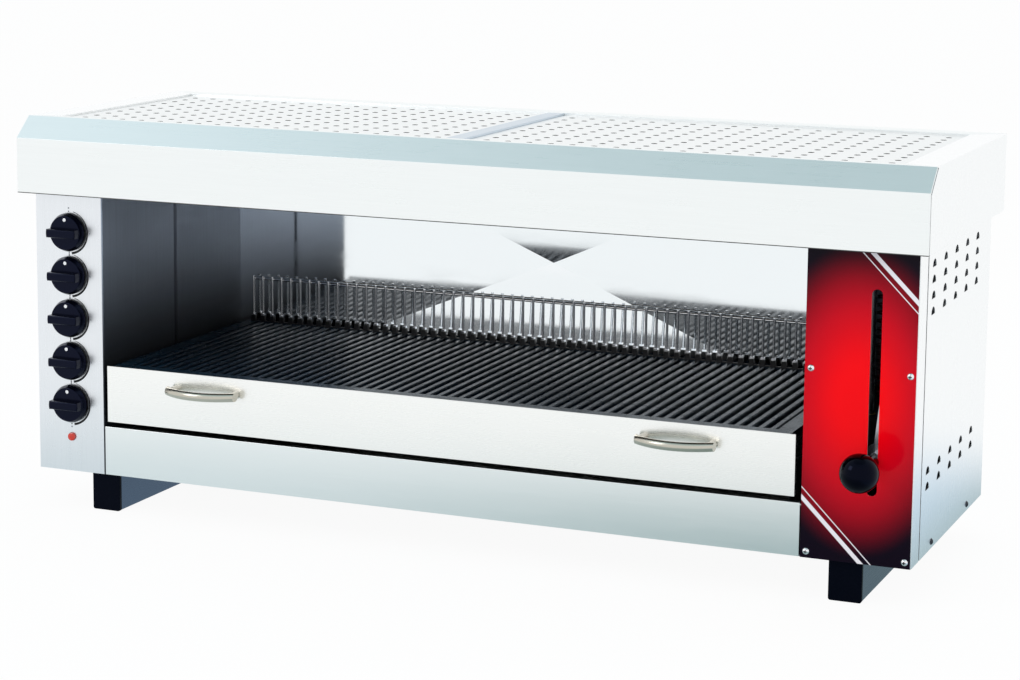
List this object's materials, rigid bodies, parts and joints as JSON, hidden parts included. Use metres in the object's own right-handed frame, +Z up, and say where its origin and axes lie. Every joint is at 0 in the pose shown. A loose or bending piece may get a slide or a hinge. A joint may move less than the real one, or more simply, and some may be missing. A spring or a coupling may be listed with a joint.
{
  "type": "salamander grill",
  "caption": "Countertop gas salamander grill: stainless hood over a cooking chamber, lever-lifted grate and drip drawer, burner knobs, vented top and sides.",
  "frame": {"origin": "on the floor, under the middle of the whole object's box", "axes": "+X to the object's right as seen from the front, +Y to the back, +Z up"},
  "size_m": [1.2, 0.4848, 0.517],
  "materials": {
    "satin_stainless": "fine satin grain",
    "mirror_stainless": "bright annealed, nearly mirror",
    "zinc_sheet": "zinc coated, dull",
    "bright_wire": "bright nickel-chrome plate",
    "black_enamel": "glossy vitreous enamel",
    "printed_red": "glossy printed panel",
    "knob_black": "glossy phenolic",
    "cap_black": "moulded polyamide",
    "button_red": "glossy",
    "turned_brass": "machined",
    "pipe_aluminium": "drawn tube",
    "burner_steel": "heat-tinted",
    "porous_ceramic": "porous ceramic",
    "white_ceramic": "glazed ceramic",
    "ground_steel": "ground and plated"
  },
  "bodies": {
    "cabinet": {"hood_front": "satin_stainless", "hood_end_left": "satin_stainless", "hood_end_right": "satin_stainless", "hood_rear": "satin_stainless", "plate_frame": "satin_stainless", "top_divider": "satin_stainless", "control_panel": "satin_stainless", "lever_column": "satin_stainless", "lever_fascia": "printed_red", "lower_front_panel": "satin_stainless", "side_panel_left": "satin_stainless", "side_panel_right": "satin_stainless", "base_panel": "zinc_sheet", "back_panel": "mirror_stainless", "chamber_wall_left": "satin_stainless", "chamber_wall_right": "satin_stainless", "chamber_floor": "mirror_stainless", "burner_deck": "mirror_stainless", "foot_rails": "satin_stainless", "foot_end_caps": "cap_black", "panel_screws": "bright_wire", "guide_rods": "ground_steel", "rod_hangers": "zinc_sheet", "gas_valves": "turned_brass", "gas_manifold": "ground_steel", "feed_pipes": "pipe_aluminium", "burner_bodies": "burner_steel", "burner_plaques": "porous_ceramic", "igniter_body": "cap_black", "igniter_electrodes": "white_ceramic", "counter_springs": "ground_steel"},
    "left_top_cover": {"top_plate_left": "satin_stainless"},
    "right_top_cover": {"top_plate_right": "satin_stainless"},
    "lift": {"carriage_frame": "zinc_sheet", "lift_bracket_left": "ground_steel", "lift_bracket_right": "ground_steel", "guide_bushes": "turned_brass", "lever_arm": "ground_steel", "lever_stud": "ground_steel", "lever_nuts": "ground_steel"},
    "lever_grip": {"ball_knob": "knob_black"},
    "drawer": {"drawer_front": "satin_stainless", "drawer_box": "mirror_stainless", "drip_tray": "mirror_stainless", "drawer_handles": "bright_wire", "handle_screws": "bright_wire", "grate_frame": "black_enamel", "grate_bars": "black_enamel", "grate_fence": "bright_wire"},
    "igniter": {"igniter_button": "button_red"},
    "spindle_1": {"valve_spindle_1": "turned_brass"},
    "knob_1": {"burner_knob_1": "knob_black"},
    "spindle_2": {"valve_spindle_2": "turned_brass"},
    "knob_2": {"burner_knob_2": "knob_black"},
    "spindle_3": {"valve_spindle_3": "turned_brass"},
    "knob_3": {"burner_knob_3": "knob_black"},
    "spindle_4": {"valve_spindle_4": "turned_brass"},
    "knob_4": {"burner_knob_4": "knob_black"},
    "spindle_5": {"valve_spindle_5": "turned_brass"},
    "knob_5": {"burner_knob_5": "knob_black"}
  },
  "joints": [
    {"name": "grate_lift", "type": "slide", "parent": "cabinet", "child": "lift", "axis": [0, 0, 1], "range_m": [0, 0.19], "deforming": ["counter_springs"]},
    {"name": "lever_grip_turn", "type": "hinge", "parent": "lift", "child": "lever_grip", "pos_m": [0.538, -0.2196, 0.172], "axis": [0, -1, 0], "range_deg": [-90, 0]},
    {"name": "drawer_slide", "type": "slide", "parent": "lift", "child": "drawer", "axis": [0, -1, 0], "range_m": [0, 0.22]},
    {"name": "left_top_cover_lift", "type": "slide", "parent": "cabinet", "child": "left_top_cover", "axis": [0, 0, 1], "range_m": [0, 0.06]},
    {"name": "right_top_cover_lift", "type": "slide", "parent": "cabinet", "child": "right_top_cover", "axis": [0, 0, 1], "range_m": [0, 0.06]},
    {"name": "igniter_press", "type": "slide", "parent": "cabinet", "child": "igniter", "axis": [0, 1, 0], "range_m": [0, 0.003], "stiffness_N_per_m": 1200, "springref_m": -0.001},
    {"name": "spindle_1_turn", "type": "hinge", "parent": "cabinet", "child": "spindle_1", "pos_m": [-0.5375, -0.1636, 0.368], "axis": [0, -1, 0], "range_deg": [0, 270]},
    {"name": "knob_1_press", "type": "slide", "parent": "spindle_1", "child": "knob_1", "axis": [0, 1, 0], "range_m": [0, 0.003], "stiffness_N_per_m": 1500, "springref_m": -0.001},
    {"name": "spindle_2_turn", "type": "hinge", "parent": "cabinet", "child": "spindle_2", "pos_m": [-0.5375, -0.1636, 0.31115], "axis": [0, -1, 0], "range_deg": [0, 270]},
    {"name": "knob_2_press", "type": "slide", "parent": "spindle_2", "child": "knob_2", "axis": [0, 1, 0], "range_m": [0, 0.003], "stiffness_N_per_m": 1500, "springref_m": -0.001},
    {"name": "spindle_3_turn", "type": "hinge", "parent": "cabinet", "child": "spindle_3", "pos_m": [-0.5375, -0.1636, 0.2543], "axis": [0, -1, 0], "range_deg": [0, 270]},
    {"name": "knob_3_press", "type": "slide", "parent": "spindle_3", "child": "knob_3", "axis": [0, 1, 0], "range_m": [0, 0.003], "stiffness_N_per_m": 1500, "springref_m": -0.001},
    {"name": "spindle_4_turn", "type": "hinge", "parent": "cabinet", "child": "spindle_4", "pos_m": [-0.5375, -0.1636, 0.19745], "axis": [0, -1, 0], "range_deg": [0, 270]},
    {"name": "knob_4_press", "type": "slide", "parent": "spindle_4", "child": "knob_4", "axis": [0, 1, 0], "range_m": [0, 0.003], "stiffness_N_per_m": 1500, "springref_m": -0.001},
    {"name": "spindle_5_turn", "type": "hinge", "parent": "cabinet", "child": "spindle_5", "pos_m": [-0.5375, -0.1636, 0.1406], "axis": [0, -1, 0], "range_deg": [0, 270]},
    {"name": "knob_5_press", "type": "slide", "parent": "spindle_5", "child": "knob_5", "axis": [0, 1, 0], "range_m": [0, 0.003], "stiffness_N_per_m": 1500, "springref_m": -0.001}
  ]
}
